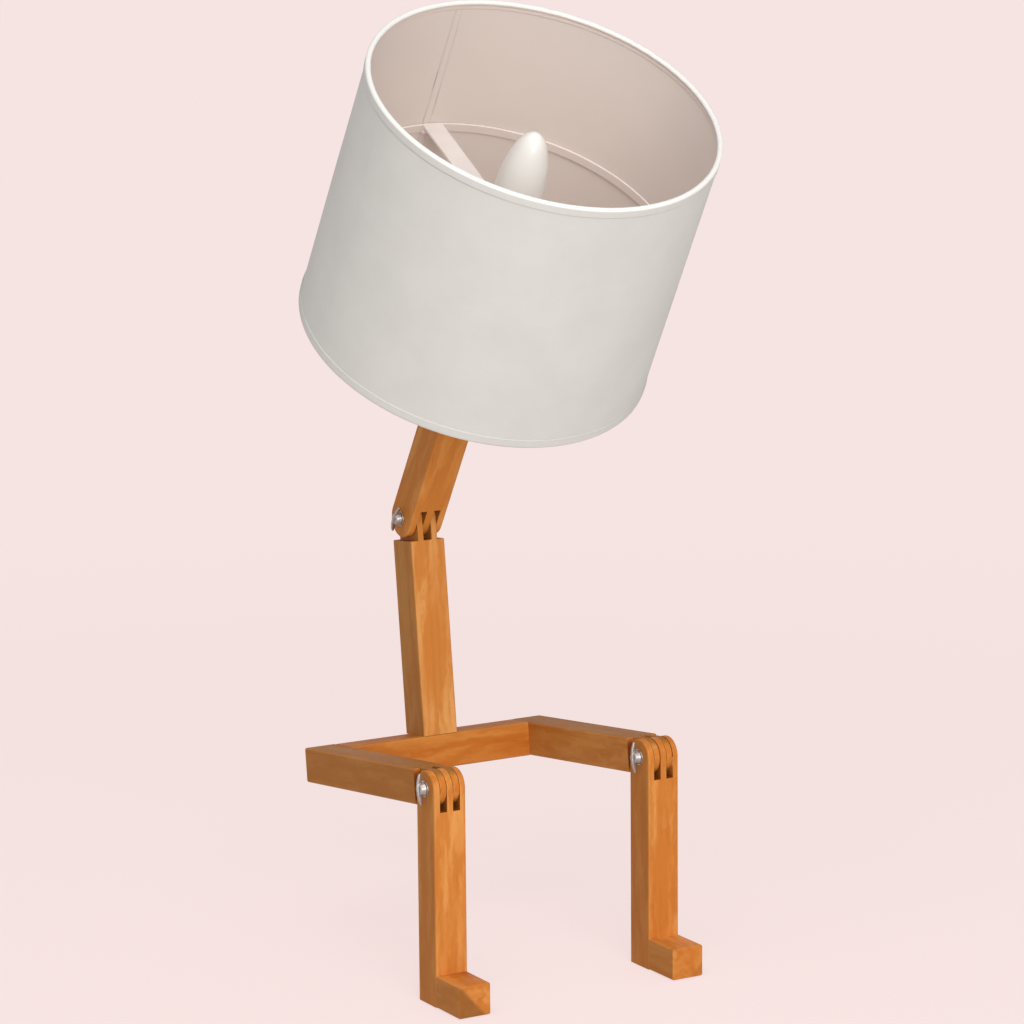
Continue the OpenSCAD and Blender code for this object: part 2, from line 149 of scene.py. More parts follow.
def length_setting(name, description, default, low, high):
    """Setting for a length; its default and its limits are in millimetres here."""
    return FloatProperty(
        name=name, description=description, default=default * MM, subtype="DISTANCE",
        min=low * MM, max=high * MM)


def light_setting(name, description, default):
    """Setting for an amount of light, where 1 is plain white."""
    return FloatProperty(name=name, description=description, default=default, min=0, max=2)


def angle_setting(name, description, degrees):
    """Setting for an angle."""
    return FloatProperty(
        name=name, description=description, default=math.radians(degrees), subtype="ANGLE")


class WoodSettings(bpy.types.PropertyGroup):
    """Colours and finish of the wooden bars."""

    tone: colour_setting("Tone", "Stained wood between its streaks", (0.64, 0.213, 0.033))
    pale: colour_setting("Pale tone", "Broad pale areas of the grain", (0.78, 0.325, 0.080))
    streak: colour_setting("Streak", "Dark streaks, pores and flecks", (0.40, 0.105, 0.012))
    # painted shade, with the edge grain's own tone: side and top faces are browned towards this
    edge_grain_and_shade: colour_setting("Brown", "Side faces, whose grain stands on edge", (0.250, 0.105, 0.013))
    arris: length_setting("Arris", "Softening of the sawn ends and slots", 0.5, 0.1, 0.7)
    gloss: FloatProperty(
        name="Roughness", description="Roughness of the satin varnish",
        subtype="FACTOR", default=0.55, min=0, max=1)


class ShadeSettings(bpy.types.PropertyGroup):
    """Cloth, film and tape of the shade."""

    cloth: colour_setting("Cloth", "Cloth on the outside of the wall", (0.760, 0.760, 0.736))
    film: colour_setting("Film", "Film on the inside of the wall", (0.805, 0.717, 0.668))
    tape: colour_setting("Tape", "Tape folded round the rims", (0.752, 0.752, 0.724))
    # whiter top of the top rim's roll: partly bleached tape, partly a painted highlight
    piping_and_highlight: colour_setting("Piping", "Bleached tape over the top rim's wire", (0.97, 0.965, 0.945))
    thread: length_setting("Thread pitch", "Distance between neighbouring threads", 0.42, 0.2, 1.5)
    pucker: length_setting("Pucker", "Depth of the tape's puckers", 0.16, 0, 0.4)
    lap: length_setting("Lap", "Width of the glued lap at the back", 9, 4, 15)
    steps: IntProperty(
        name="Steps", description="Facets round the shade", default=240, min=48, max=360)


class FittingSettings(bpy.types.PropertyGroup):
    """Metal, plastic and glass parts."""

    zinc: colour_setting("Zinc", "Plated steel of bolts, washers and wing nuts",
                         (0.66, 0.65, 0.66))
    plastic: colour_setting("Plastic", "Lamp holder, shade rings and cable bush",
                            (0.82, 0.80, 0.76))
    paint: colour_setting("Paint", "Paint on the shade's carrier", (0.96, 0.90, 0.87))
    glass: colour_setting("Glass", "Frosted glass of the bulb", (0.99, 0.99, 0.955))
    bolt_pitch: length_setting("Bolt thread", "Pitch of the bolts' thread", 0.7, 0.4, 1)
    holder_pitch: length_setting("Holder thread", "Pitch of the holder's outer thread", 2, 1, 3)
    cap_pitch: length_setting("Cap thread", "Pitch of the bulb cap's rolled thread", 2.82, 2, 4)


class StageSettings(bpy.types.PropertyGroup):
    """Floor, light and camera."""

    backdrop: colour_setting("Backdrop", "Colour of the floor and of all that lies behind",
                     (0.922, 0.775, 0.761))
    ambient: light_setting("Ambient", "Even light from all round", 0.46)
    key: light_setting("Key", "Brightness of a white card that faces the front light", 0.50)
    top: light_setting("Top", "Brightness of a white card that faces the light overhead", 0.24)
    view_place: FloatVectorProperty(
        name="Camera place", description="Where the camera stands",
        subtype="XYZ", unit="LENGTH", size=3, default=(-1.10247, -1.99179, 0.55833))
    view_turn: angle_setting("Camera turn", "Angle of the view from the front, to the right",
                             30.132)
    view_tilt: angle_setting("Camera tilt", "Angle of the view above the level", -10.145)
    view_roll: angle_setting("Camera roll", "Turn of the camera about its view", -0.503)
    lens: FloatProperty(
        name="Lens", description="Focal length on a 36 mm sensor",
        default=140.34, min=20, max=300)


# ---------- node trees ----------

class Nodes:
    """Shader nodes of a new material or world, each added and linked in one call."""

    def __init__(self, owner, bare=False):
        owner.use_nodes = True
        self.owner = owner
        self.tree = owner.node_tree
        if bare:
            self.tree.nodes.clear()

    def feed(self, node, sockets):
        """Links or sets sockets of a node."""
        for name, value in sockets.items():
            if isinstance(value, bpy.types.NodeSocket):
                self.tree.links.new(value, node.inputs[name])
            else:
                node.inputs[name].default_value = value

    def add(self, kind, sockets=None, out=0, **settings):
        """Output of a new node, with its settings and sockets as given."""
        node = self.tree.nodes.new("ShaderNode" + kind)
        for name, value in settings.items():
            setattr(node, name, value)
        self.feed(node, sockets or {})
        return node.outputs[out] if node.outputs else None

    def math(self, operation, first, second=0.5, third=0.5):
        """Result of a Math node."""
        return self.add("Math", {0: first, 1: second, 2: third}, operation=operation)

    def times(self, first, second):
        """Product of two values."""
        return self.math("MULTIPLY", first, second)

    def vector(self, operation, first, second, third=(0, 0, 0), out=0):
        """Result of a Vector Math node."""
        return self.add("VectorMath", {0: first, 1: second, 2: third}, out, operation=operation)

    def parts(self, vector):
        """X, Y and Z of a vector."""
        return self.add("SeparateXYZ", {0: vector}).node.outputs[:]

    def blend(self, factor, first, second):
        """Mix of two colours, each of which is a socket or three numbers."""
        colours = [c if isinstance(c, bpy.types.NodeSocket) else (*c, 1) for c in (first, second)]
        return self.add("Mix", {0: factor, 6: colours[0], 7: colours[1]}, 2, data_type="RGBA")

    def spread(self, value, low, high, new_low=0.0, new_high=1.0):
        """Value carried smoothly from one range to another."""
        return self.add("MapRange", {
            "Value": value, "From Min": low, "From Max": high,
            "To Min": new_low, "To Max": new_high}, "Result", interpolation_type="SMOOTHSTEP")

    def cloud(self, vector, scale, detail=2.0, roughness=0.5, distortion=0.0, out="Fac"):
        """Noise; scale is one number, or one for each axis."""
        if isinstance(scale, tuple):
            vector, scale = self.vector("MULTIPLY", vector, scale), 1.0
        return self.add("TexNoise", {
            "Vector": vector, "Scale": scale, "Detail": detail,
            "Roughness": roughness, "Distortion": distortion}, out)

    def bump(self, height, strength, depth):
        """Normal of a relief; depth in millimetres."""
        return self.add("Bump", {"Height": height, "Strength": strength, "Distance": depth * MM})

    def coords(self, place=None):
        """Object coordinates in millimetres, in the axes of a place."""
        back = (place or Matrix.Identity(4)).inverted()
        return self.add("Mapping", {
            "Vector": self.add("TexCoord", out="Object"), "Location": back.to_translation() / MM,
            "Rotation": back.to_euler("XYZ"), "Scale": (1 / MM, 1 / MM, 1 / MM)})

    def facing(self, axis):
        """Cosine of the angle between the surface's normal and an axis."""
        return self.vector("DOT_PRODUCT", self.add("TexCoord", out="Normal"), axis, out="Value")

    def surface(self, sockets):
        """The material, once its Principled shader is fed."""
        self.feed(self.tree.nodes["Principled BSDF"], sockets)
        return self.owner


# ---------- materials ----------

WAVE_PERIOD = FULL_TURN / 20        # of a wave texture whose scale is 1
AMBER = (0.64, 0.185, 0.022)          # warmer stretches of the wood
DARK_END_CORNER = (0.27, 0.10, 0.020)           # dark corner of a bar's end
WORN_AND_HIGHLIT_ARRIS = (0.66, 0.29, 0.08)           # arrises: worn pale, and a painted highlight of their rounding
PAINTED_SLOT_SHADE = (0.20, 0.042, 0.003)         # painted shade inside the slots, on their floors and by the tongues' roots


def darker(colour, share):
    """Share of a colour."""
    return tuple(share * c for c in colour)


def wood_grain(n, centred, seed):
    """Layers of the grain, which seed draws from another stretch of wood for each bar."""
    shifted = n.vector("ADD", centred, (17.3 * seed, 9.1 * seed, 53.0 * seed))
    sway = n.cloud(shifted, (0.25, 0.25, 0.11), 1, out="Color")
    shifted = n.vector("MULTIPLY_ADD", sway, (4, 4, 0), shifted)
    pith = n.vector("ADD", centred, (24 + 5 * math.sin(seed), 14 + 6 * math.cos(2 * seed), 0))
    return {
        "wander": n.cloud(shifted, (0.05, 0.05, 0.016), 1),
        "broad": n.cloud(shifted, (0.13, 0.13, 0.022), 2, 0.5, 0.7),
        "fibre": n.cloud(shifted, (2.2, 2.2, 0.045), 4, 0.6),
        "pore": n.cloud(shifted, (4.6, 4.6, 0.17), 1),
        "fleck": n.cloud(shifted, (0.8, 0.8, 0.06)),
        "gap": n.cloud(shifted, (0.09, 0.09, 0.03)),
        "rings": n.add("TexWave", {
            "Vector": n.vector("MULTIPLY", pith, (1, 1, 0.07)), "Scale": WAVE_PERIOD / 4.2,
            "Distortion": 5.0, "Detail": 2.0, "Detail Scale": 0.16, "Detail Roughness": 0.5},
            "Fac", wave_type="RINGS", rings_direction="SPHERICAL"),
    }


def streaked(n, wood, grain):
    """Colour of the grain, before a bar gets its stain."""
    tone = n.blend(n.spread(grain["broad"], 0.38, 0.66), wood.tone, wood.pale)
    tone = n.blend(n.spread(grain["wander"], 0.4, 0.65, 0, 0.4), tone, AMBER)
    late = n.times(n.spread(grain["rings"], 0.25, 1.0), 0.17)
    late = n.times(late, n.spread(grain["gap"], 0.42, 0.62))
    tone = n.blend(late, tone, wood.streak)
    for layer, low, high, share in (
            ("fibre", 0.45, 0.8, 0.16), ("pore", 0.66, 0.78, 0.14), ("fleck", 0.62, 0.8, 0.3)):
        tone = n.blend(n.spread(grain[layer], low, high, 0, share), tone, wood.streak)
    return tone


def wood_material(name, wood, place, seed, half_width, shoulder=None, dark_corner=None,
                  edge_grain_and_shade=(0.45, 0), stain_and_shade=(1, 1, 1)):
    """Stained wood whose grain runs along Z of place.

    shoulder is the height of the slots' floors or the tongues' roots, with a 1 for slots; the
    slots' sides and floors and the shoulders by the tongues' roots are darkened there as painted
    shade. A darker corner of the bar's end face, bounded by a slanted line, is given as (normal x,
    normal y, distance, strength). The faces along X and along Y are browned by two shares, partly
    for the edge grain's own tone and partly as painted shade of the side and top faces; the last
    argument tints the bar, darker on the hip bar as painted shade. All lengths are in millimetres.
    """
    n = Nodes(bpy.data.materials.new(name))
    centred = n.coords(place)
    grain = wood_grain(n, centred, seed)
    facing = [n.math("ABSOLUTE", n.facing(place.to_3x3() @ Vector(axis)))
              for axis in ((1, 0, 0), (0, 1, 0), (0, 0, 1))]
    end_grain = n.spread(facing[2], 0.45, 0.9)
    # painted shade: this tint darkens the hip bar; on the other bars it only shifts their tone
    tone = n.vector("MULTIPLY", streaked(n, wood, grain), stain_and_shade)
    # browned side and top faces: the edge grain's own tone, and painted shade where the front light falls less
    for towards, share in zip(facing, edge_grain_and_shade):
        tone = n.blend(n.spread(towards, 0.5, 0.9, 0, share), tone, wood.edge_grain_and_shade)
    tone = n.blend(n.times(end_grain, 0.12), tone, wood.streak)

    x, y, z = n.parts(centred)
    across, deep = n.math("ABSOLUTE", x), n.math("ABSOLUTE", y)
    # a darker corner of the bar's end face, bounded by a slanted line
    if dark_corner:
        normal_x, normal_y, distance, strength = dark_corner
        corner = n.math("MULTIPLY_ADD", y, normal_y, n.times(x, normal_x))
        corner = n.math("MULTIPLY_ADD", grain["wander"], 2.2, corner)
        dark = n.spread(corner, distance - 1.5, distance + 1.5, 0, strength)
        tone = n.blend(n.times(dark, end_grain), tone, DARK_END_CORNER)
    # paler along the arrises: wear, and a painted highlight on the rounded edges
    nearest = n.math("MINIMUM", across, deep)
    tone = n.blend(n.spread(nearest, half_width - 1.3, half_width - 0.2, 0, 0.28), tone, WORN_AND_HIGHLIT_ARRIS)
    # painted shade: the slots' sides and floors, and the shoulders by the tongues' roots, are darkened where shade
    # falls in the joints
    if shoulder:
        height, slots = shoulder
        slot_side_shade = n.times(n.spread(across, half_width - 0.6, half_width - 1.2),
                         n.spread(facing[0], 0.6, 0.8, 0, 0.6 * slots))
        floor = n.math("ABSOLUTE", n.math("SUBTRACT", z, height))
        floor = n.times(n.spread(floor, 1.2, 0.6), end_grain)
        if not slots:
            floor = n.times(floor, n.spread(deep, half_width + 1, half_width - 4))
        tone = n.blend(n.times(n.math("MAXIMUM", slot_side_shade, floor), 0.85), tone, PAINTED_SLOT_SHADE)

    relief = n.math("MULTIPLY_ADD", n.spread(grain["pore"], 0.6, 0.75), -0.8, grain["fibre"])
    rough = n.spread(grain["fibre"], 0.3, 0.8, wood.gloss - 0.05, wood.gloss + 0.12)
    return n.surface({
        "Base Color": tone, "Roughness": rough, "Specular IOR Level": 0.2,
        "Normal": n.bump(relief, 0.25, 0.12)})


def metal_material(name, colour, roughness, relief=0.03, grain=1.6):
    """Plated or cast metal with slight clouds and a fine skin."""
    n = Nodes(bpy.data.materials.new(name))
    coords = n.coords()
    clouds = n.spread(n.cloud(coords, 0.35, 3), 0.35, 0.7)
    skin = n.cloud(coords, grain, 3, 0.6)
    return n.surface({
        "Base Color": n.blend(clouds, darker(colour, 0.8), colour), "Metallic": 1.0,
        "Roughness": n.spread(skin, 0.3, 0.7, roughness - 0.06, roughness + 0.08),
        "Normal": n.bump(skin, 0.4, relief)})


def plastic_material(name, colour, roughness=0.38, relief=0.02):
    """Moulded plastic or paint with a fine skin and slight unevenness of tone."""
    n = Nodes(bpy.data.materials.new(name))
    coords = n.coords()
    clouds = n.cloud(coords, 0.12, 3)
    return n.surface({
        "Base Color": n.blend(clouds, darker(colour, 0.92), colour), "Specular IOR Level": 0.45,
        "Roughness": n.spread(clouds, 0.3, 0.7, roughness - 0.04, roughness + 0.06),
        "Normal": n.bump(n.cloud(coords, 3.2, 2, 0.6), 0.35, relief)})


def glass_material(name, colour):
    """Frosted glass, white inside, with a fine even haze."""
    n = Nodes(bpy.data.materials.new(name))
    coords = n.coords(NECK)
    return n.surface({
        "Base Color": n.blend(n.cloud(coords, 0.09), darker(colour, 0.94), colour),
        "Roughness": 0.36, "Normal": n.bump(n.cloud(coords, 5.0), 0.2, 0.02),
        "Coat Weight": 0.6, "Coat Roughness": 0.3})


def cloth_material(name, colour, thread, mottle=0.05, lining=None, piping_and_highlight=None):
    """Plain weave in the piece's own UV map, whose units are metres.

    mottle is the share of the colour that its clouds take away. lining is the colour of a
    tape's inner leg, with the length along the tape at which the weave turns into it. The last
    argument is the colour of its roll, with the height up the neck's axis, in millimetres, at
    which that begins; this whiter top of the roll is partly bleached tape and partly a painted
    highlight.
    """
    n = Nodes(bpy.data.materials.new(name))
    uv = n.add("UVMap", uv_map="cloth")
    weave = n.times(*(
        n.add("TexWave", {
            "Vector": uv, "Scale": WAVE_PERIOD / thread, "Distortion": 0.6, "Detail": 1.0,
            "Detail Scale": 0.25}, "Fac", wave_type="BANDS", bands_direction=direction)
        for direction in ("X", "Y")))
    weft = n.cloud(uv, (30, 1600, 1), 3)
    warp = n.cloud(uv, (1600, 26, 1), 3)
    slub = n.math("MAXIMUM", weft, warp)
    clouds = n.cloud(uv, (26, 26, 1), 4, 0.6)
    tone = n.blend(n.spread(clouds, 0.3, 0.7), colour, darker(colour, 1 - mottle))
    tone = n.blend(n.spread(slub, 0.55, 0.8, 0, 0.10), tone, darker(colour, 0.8))
    tone = n.blend(n.spread(weave, 0.0, 0.25, 0.10, 0), tone, darker(colour, 0.72))
    if lining:
        inner, turns = lining
        tone = n.blend(n.spread(n.parts(uv)[1], turns, turns + 0.5 * MM), tone, inner)
    # painted highlight, with bleached tape: the roll whitens above a height up the neck's axis
    if piping_and_highlight:
        white, begins = piping_and_highlight
        height = n.parts(n.coords(NECK))[2]
        tone = n.blend(n.spread(height, begins, begins + 0.7), tone, white)
    return n.surface({
        "Base Color": tone, "Roughness": 0.85, "Specular IOR Level": 0.15,
        "Normal": n.bump(n.math("MULTIPLY_ADD", slub, 0.8, weave), 0.35, 0.09),
        "Sheen Weight": 0.08, "Sheen Roughness": 0.6})


def film_material(name, colour, lap=None):
    """Smooth film with the weave showing faintly through it.

    lap is the middle and the half width, in the UV map, of a strip with pressed edges; along
    them the colour is darkened as painted shade of the pressed creases.
    """
    n = Nodes(bpy.data.materials.new(name))
    uv = n.add("UVMap", uv_map="cloth")
    ghost = n.cloud(uv, (900, 40, 1))
    tone = n.blend(n.cloud(uv, (18, 30, 1), 3), darker(colour, 0.95), colour)
    tone = n.blend(n.spread(ghost, 0.5, 0.8, 0, 0.06), tone, darker(colour, 0.8))
    if lap:
        middle, half = lap
        across = n.math("ABSOLUTE", n.math("SUBTRACT", n.parts(uv)[0], middle))
        # painted shade along the lap's pressed edges
        edge = n.spread(across, half - 1.7 * MM, half - 0.3 * MM)
        tone = n.blend(n.times(edge, 0.5), tone, darker(colour, 0.82))
    return n.surface({"Base Color": tone, "Roughness": 0.5, "Specular IOR Level": 0.3,
                      "Normal": n.bump(ghost, 0.15, 0.03)})


def hoop_material(name, colour, unshaded_paint):
    """Paint of the carrier's hoop: the paint itself on the faces that look up the shade's axis,
    and on the rest a darker colour, which is painted shade of the same paint.
    """
    n = Nodes(bpy.data.materials.new(name))
    coords = n.coords(NECK)
    tone = n.blend(n.cloud(coords, 0.12, 3), darker(colour, 0.94), colour)
    # painted shade: only faces looking up the shade keep the paint's own colour
    tone = n.blend(n.spread(n.facing(NECK.to_3x3() @ UP), 0.3, 0.8), tone, unshaded_paint)
    return n.surface({
        "Base Color": tone, "Roughness": 0.45, "Specular IOR Level": 0.35,
        "Normal": n.bump(n.cloud(coords, 3.2, 2, 0.6), 0.35, 0.03)})


# ---------- mesh making ----------

def finish_piece(bm, name, node, materials, sharp=40, weighted=False, extra=False):
    """Object from a finished bmesh, shaded smooth up to an edge angle.

    It rides on the body of a CAD node, which it replaces unless it is an extra on it.
    """
    mesh = bpy.data.meshes.new(name)
    bm.to_mesh(mesh)
    bm.free()
    piece = bpy.data.objects.new(name, mesh)
    bpy.context.scene.collection.objects.link(piece)
    for material in materials:
        mesh.materials.append(material)
    mesh.shade_smooth()
    mesh.set_sharp_from_angle(angle=math.radians(sharp))
    if weighted:
        normals = piece.modifiers.new("Even normals", "WEIGHTED_NORMAL")
        normals.keep_sharp = True
    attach(piece, BODY_OF[node])
    if not extra:
        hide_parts(node)
    return piece


def softened(node, width, sharp_planes=(), segments=2):
    """bmesh of a CAD node with its doubles merged, flat faces whole and edges softened.

    Edges that lie in one of sharp_planes, (point, normal), stay as they are.
    """
    bm = bmesh.new()
    bm.from_mesh(frame["nodes"][node].data)
    bmesh.ops.remove_doubles(bm, verts=bm.verts, dist=0.002 * MM)
    bmesh.ops.dissolve_limit(
        bm, angle_limit=math.radians(0.6), verts=bm.verts, edges=bm.edges)

    def in_plane(edge, point, normal):
        return all(abs((v.co - point).dot(normal)) < 0.02 * MM for v in edge.verts)

    edges = [
        e for e in bm.edges
        if e.is_manifold and e.calc_face_angle() > math.radians(35)
        and not any(in_plane(e, point, normal) for point, normal in sharp_planes)
    ]
    bevelled(bm, edges, width, segments)
    return bm


def bevelled(bm, edges, width, segments):
    """Rounds edges of a bmesh."""
    bmesh.ops.bevel(
        bm, geom=edges, offset=width, offset_type="OFFSET", segments=segments,
        profile=0.5, affect="EDGES", clamp_overlap=True, material=-1)


def lathe(profile, steps, closed=True, start=0.0, sweep=FULL_TURN):
    """bmesh of a profile of (radius, height) points spun about Z, from start through sweep.

    Its layer named along holds each point's distance along the profile.
    """
    bm = bmesh.new()
    along = bm.verts.layers.float.new("along")
    turn = Matrix.Rotation(start, 3, "Z")
    verts = []
    travelled = 0.0
    before = profile[0]
    for radius, height in profile:
        travelled += math.hypot(radius - before[0], height - before[1])
        before = (radius, height)
        vert = bm.verts.new(turn @ Vector((radius, 0, height)))
        vert[along] = travelled
        verts.append(vert)
    ends = verts[1:] + verts[:1] if closed else verts[1:]
    edges = [bm.edges.new(pair) for pair in zip(verts, ends)]
    full = sweep == FULL_TURN
    if not full and closed:
        bm.faces.new(verts)
    bmesh.ops.spin(
        bm, geom=verts + edges + list(bm.faces), cent=(0, 0, 0), axis=(0, 0, 1), angle=sweep,
        steps=steps, use_merge=full, use_duplicate=False)
    bmesh.ops.remove_doubles(bm, verts=bm.verts, dist=0.0005 * MM)
    bmesh.ops.recalc_face_normals(bm, faces=bm.faces)
    return bm


def arc(centre, radius, start, end, steps):
    """Points (radius, height) along an arc, angles in degrees."""
    angles = [math.radians(start + (end - start) * i / steps) for i in range(steps + 1)]
    return [(centre[0] + radius * math.cos(a), centre[1] + radius * math.sin(a)) for a in angles]


CUT_GROOVE = ((0, 0), (0.15, 0), (0.5, 1), (0.65, 1))     # shares of the pitch and of the depth
ROLLED_GROOVE = [(i / 6, (1 - math.cos(FULL_TURN * i / 6)) / 2) for i in range(6)]


def threaded(radius, depth, pitch, low, high, groove=CUT_GROOVE):
    """Points of a threaded edge from low to high, with a groove in each turn."""
    turns = max(1, int((high - low) / pitch))
    run = (high - low) / turns
    points = [(radius - depth * sunk, low + (turn + share) * run)
              for turn in range(turns) for share, sunk in groove]
    return points + [(radius, high)]


def give_uv(bm, wrap_radius):
    """UV map in metres: round the neck's axis, and along the spun profile."""
    uv = bm.loops.layers.uv.new("cloth")
    along = bm.verts.layers.float["along"]
    for face in bm.faces:
        middle = face.calc_center_median()
        base = math.atan2(middle.y, middle.x)
        for loop in face.loops:
            point = loop.vert.co
            turn = math.atan2(point.y, point.x) - base
            turn -= FULL_TURN * round(turn / FULL_TURN)
            loop[uv].uv = (wrap_radius * (base + turn), loop.vert[along])


def placed(bm, place):
    """The same bmesh, moved to its place."""
    bmesh.ops.transform(bm, matrix=place, verts=bm.verts)
    return bm


def joined(target, other):
    """Adds the faces of another bmesh to the target."""
    mesh = bpy.data.meshes.new("part")
    other.to_mesh(mesh)
    other.free()
    target.from_mesh(mesh)
    bpy.data.meshes.remove(mesh)
    return target


def paint_node(node, material):
    """Gives a CAD node its finish."""
    mesh = frame["nodes"][node].data
    mesh.materials.clear()
    mesh.materials.append(material)


# ---------- wooden bars ----------

SLOT_ROOM = 2                         # millimetres from a tongue's round end to its slot's floor
PLAIN = (1, 1, 1)                     # tint of a bar with the common stain
# how brown each bar's faces along X and along Y are, for the edge grain's own tone and as painted
# shade of the side and top faces, and the bar's tint, darker on the hip bar as painted shade
FACES = {
    "hip_bar": ((0.3, 0), (0.84, 0.75, 0.55)),
    "left_thigh": ((0.64, 0.75), (1.0, 0.97, 0.85)),
    "right_thigh": ((0.42, 0.75), PLAIN),
    "torso": ((0.60, 0), (1.0, 1.10, 1.3)),
    "neck": ((0.24, 0), (0.98, 1.04, 1.04)),
    "left_shin": ((0.48, 0), PLAIN),
    "right_shin": ((0.46, 0), (0.97, 0.96, 0.93)),
    "left_toe": ((0.52, 0), PLAIN),
    "right_toe": ((0.50, 0), PLAIN),
}


def half_width(node):
    """Half of the width of a bar that runs up or down, whose faces look along X."""
    low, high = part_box(node)
    return (high.x - low.x) / 2


def bar_places():
    """For each bar: its grain's place, its half width, the planes in which its edges stay
    sharp, its shoulder, where painted shade goes, and its darker end corner."""
    hip = centre_of("hip_bar")
    leg, trunk = half_width("left_shin"), half_width("neck")
    hip_top = hip + TORSO_AXIS.normalized() * leg
    bars = {
        "hip_bar": (axes_at(hip, RIGHT, TORSO_AXIS), leg, (), None, None),
        "torso": (axes_at(NECK_PIVOT, TORSO_AXIS, RIGHT), trunk,
                  ((hip_top, TORSO_AXIS.normalized()),), (-trunk / MM - SLOT_ROOM, 0), None),
        "neck": (NECK, trunk, (), (trunk / MM + SLOT_ROOM, 1), None),
    }
    dark_corners = {"left": (-0.740, -0.672, 1.9, 0.82), "right": (0.75, -0.66, 9.2, 0.3)}
    for side, dark_corner in dark_corners.items():
        knee = pivot_of(side + "_knee")
        toe = centre_of(side + "_toe")
        shin_front = Vector((0, knee.y - leg, 0))
        bars[side + "_thigh"] = (axes_at(knee, THIGH_AXIS, RIGHT), leg, (),
                                 (leg / MM + SLOT_ROOM, 0), None)
        bars[side + "_shin"] = (axes_at(knee, UP, RIGHT), leg, ((shin_front, FRONT),),
                                (-leg / MM - SLOT_ROOM, 1), None)
        bars[side + "_toe"] = (axes_at(toe, FRONT, RIGHT), leg, ((shin_front, FRONT),),
                               None, dark_corner)
    return bars


class FIGURELAMP_OT_wooden_bars(bpy.types.Operator):
    """Make the hip bar, thighs, torso, neck, shins and toe blocks in grained wood"""

    bl_idname = "figure_lamp.wooden_bars"
    bl_label = "Wooden Bars"

    def execute(self, context):
        wood = context.scene.figure_lamp_wood
        for seed, (node, bar) in enumerate(bar_places().items(), 1):
            place, half, sharp_planes, shoulder, dark_corner = bar
            material = wood_material(
                "Wood " + node, wood, place, seed, half / MM, shoulder, dark_corner, *FACES[node])
            bm = softened(node, wood.arris, sharp_planes)
            finish_piece(bm, "wood_" + node, node, [material], sharp=50, weighted=True)
        return {"FINISHED"}


class FIGURELAMP_OT_dowels(bpy.types.Operator):
    """Finish the beech dowels in the joints of the figure"""

    bl_idname = "figure_lamp.dowels"
    bl_label = "Dowels"

    def execute(self, context):
        wood = context.scene.figure_lamp_wood
        place = axes_at(pivot_of("left_knee"), FRONT, RIGHT)
        material = wood_material("Dowel wood", wood, place, seed=12, half_width=50)
        for node in ("hip_dowels", "torso_dowels", "left_toe_dowel", "right_toe_dowel"):
            paint_node(node, material)
        return {"FINISHED"}


# ---------- bolts, washers and wing nuts ----------

HINGES = {
    "left_knee": "left_knee_nut_turn",
    "right_knee": "right_knee_nut_turn",
    "neck": "neck_nut_turn",
}
THREAD_FROM = 12 * MM                 # from the bolt head's seat to its thread
THREAD_DEPTH = 0.32                   # share of the bolts' pitch
SQUARE_NECK = 2.2 * MM                # its depth
NUT_BORE_ROOM = 0.06 * MM             # round the bolt


def points_about(node, pivot):
    """Points of a node, from a pivot."""
    return [v.co - pivot for v in frame["nodes"][node].data.vertices]


def from_bolt(point):
    """Distance of a point from the bolt's axis."""
    return math.hypot(point.y, point.z)


def hinge_place(hinge):
    """Place on a hinge's bolt: Z runs out through the wing nut, X along its wings.

    The distance from the bolt's axis to the wings' tips goes with it.
    """
    pivot = pivot_of(HINGES[hinge])
    tip = max(points_about(hinge + "_nut", pivot), key=from_bolt)
    return axes_at(pivot, -RIGHT, Vector((0, tip.y, tip.z))), from_bolt(tip)


def bolt_sizes(hinge):
    """Heights along the bolt of its head, its seat and its end, and its radii."""
    pivot = pivot_of(HINGES[hinge])
    low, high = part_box(hinge + "_bolt")
    seat = -half_width("neck" if hinge == "neck" else hinge.replace("knee", "shin"))
    points = points_about(hinge + "_bolt", pivot)
    end = pivot.x - low.x
    shank = max(from_bolt(p) for p in points if -p.x > end - 0.1 * MM)
    head = max(from_bolt(p) for p in points)
    return {"top": pivot.x - high.x, "seat": seat, "end": end, "shank": shank, "head": head}


def bolt_mesh(sizes, pitch):
    """Domed bolt with a square neck and a threaded end."""
    top, seat, end = sizes["top"], sizes["seat"], sizes["end"]
    head, shank = sizes["head"], sizes["shank"]
    rise = seat - top
    ball = (head ** 2 + rise ** 2) / (2 * rise)
    steepest = math.degrees(math.asin(head / ball))
    edge = 0.25 * MM
    chamfer = 0.5 * MM
    profile = [(0, top)] + arc((0, top + ball), ball, -90, -90 + steepest, 14)[1:-1]
    profile += [(head - 0.4 * edge, seat - edge), (head - 0.2 * edge, seat - 0.3 * edge),
                (head - edge, seat), (shank, seat)]
    profile += threaded(shank, THREAD_DEPTH * pitch, pitch, seat + THREAD_FROM, end - chamfer)
    profile += [(shank - 0.7 * chamfer, end), (0, end)]
    square = bmesh.new()
    bmesh.ops.create_cube(square, size=1)
    bmesh.ops.scale(square, vec=(2 * shank, 2 * shank, SQUARE_NECK), verts=square.verts)
    bmesh.ops.translate(square, vec=(0, 0, seat + SQUARE_NECK / 2), verts=square.verts)
    return joined(lathe(profile, 40, closed=False), square)


